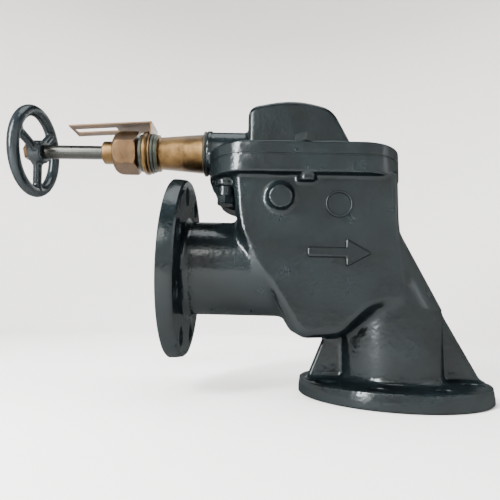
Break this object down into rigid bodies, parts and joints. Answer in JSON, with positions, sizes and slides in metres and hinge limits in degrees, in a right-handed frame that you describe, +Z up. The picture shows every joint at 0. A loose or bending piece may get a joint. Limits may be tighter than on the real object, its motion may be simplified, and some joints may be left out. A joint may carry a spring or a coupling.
{
  "type": "screw-down storm valve",
  "caption": "Angle storm valve: flanged inlet and outlet, a gravity-closed flap on a leaning seat, and a handwheel stem above the inlet that holds the flap shut.",
  "frame": {"origin": "centre of the outlet flange's sealing face", "axes": "+Z up, against the outlet's flow; +X is the way water enters through the inlet and the way the stem screws in; +Y completes the frame, towards the hinge plug"},
  "size_m": [0.4875, 0.185, 0.2982],
  "materials": {
    "enamel": "glossy dark slate enamel brushed over cast steel",
    "cast_bronze": "turned bronze with a golden-brown patina",
    "dark_bronze": "browner, duller bronze with handling marks",
    "stainless": "turned stainless steel",
    "stem_steel": "dull turned steel with a film of oil",
    "fibre": "compressed fibre jointing sheet",
    "copper": "annealed copper",
    "packing": "braided graphited packing"
  },
  "bodies": {
    "casing": {"body": "enamel", "seat_ring": "cast_bronze", "cover_gasket": "fibre", "cover": "enamel", "cover_bolt_near": "enamel", "cover_bolt_far": "enamel", "cover_bolt_right": "enamel", "under_bolt_near": "enamel", "under_bolt_far": "enamel", "hinge_pin": "stainless", "hinge_plug": "cast_bronze", "plug_washer": "copper", "pin_spacer_near": "cast_bronze", "pin_spacer_far": "cast_bronze", "stem_neck": "cast_bronze", "neck_gasket": "fibre", "indicator_plate": "dark_bronze", "indicator_lock_nut": "dark_bronze", "indicator_lock_washer": "cast_bronze", "packing_ring_1": "packing", "packing_ring_2": "packing", "packing_ring_3": "packing", "gland_follower": "cast_bronze", "gland_nut": "dark_bronze"},
    "flap": {"flap_arm": "cast_bronze", "flap_disc": "cast_bronze", "disc_facing": "fibre", "disc_washer": "stainless", "disc_nut": "stainless", "disc_split_pin": "stainless", "hinge_bush_near": "cast_bronze", "hinge_bush_far": "cast_bronze"},
    "push_pad": {"thrust_pad": "stainless"},
    "stem_gear": {"stem": "stem_steel", "handwheel": "enamel", "wheel_washer": "stem_steel", "wheel_nut": "enamel"}
  },
  "joints": [
    {"name": "flap_swing", "type": "hinge", "parent": "casing", "child": "flap", "pos_m": [-0.116, 0, 0.187], "axis": [0, -1, 0], "range_deg": [0, 35]},
    {"name": "stem_travel", "type": "slide", "parent": "casing", "child": "push_pad", "axis": [1, 0, 0], "range_m": [0, 0.033]},
    {"name": "handwheel_turn", "type": "hinge", "parent": "push_pad", "child": "stem_gear", "pos_m": [-0.385, 0, 0.2482], "axis": [1, 0, 0], "range_deg": [0, 2970.5]}
  ],
  "couplings": [
    {"joint": "handwheel_turn", "follows": "stem_travel", "rad_per_m": 1570.8}
  ]
}
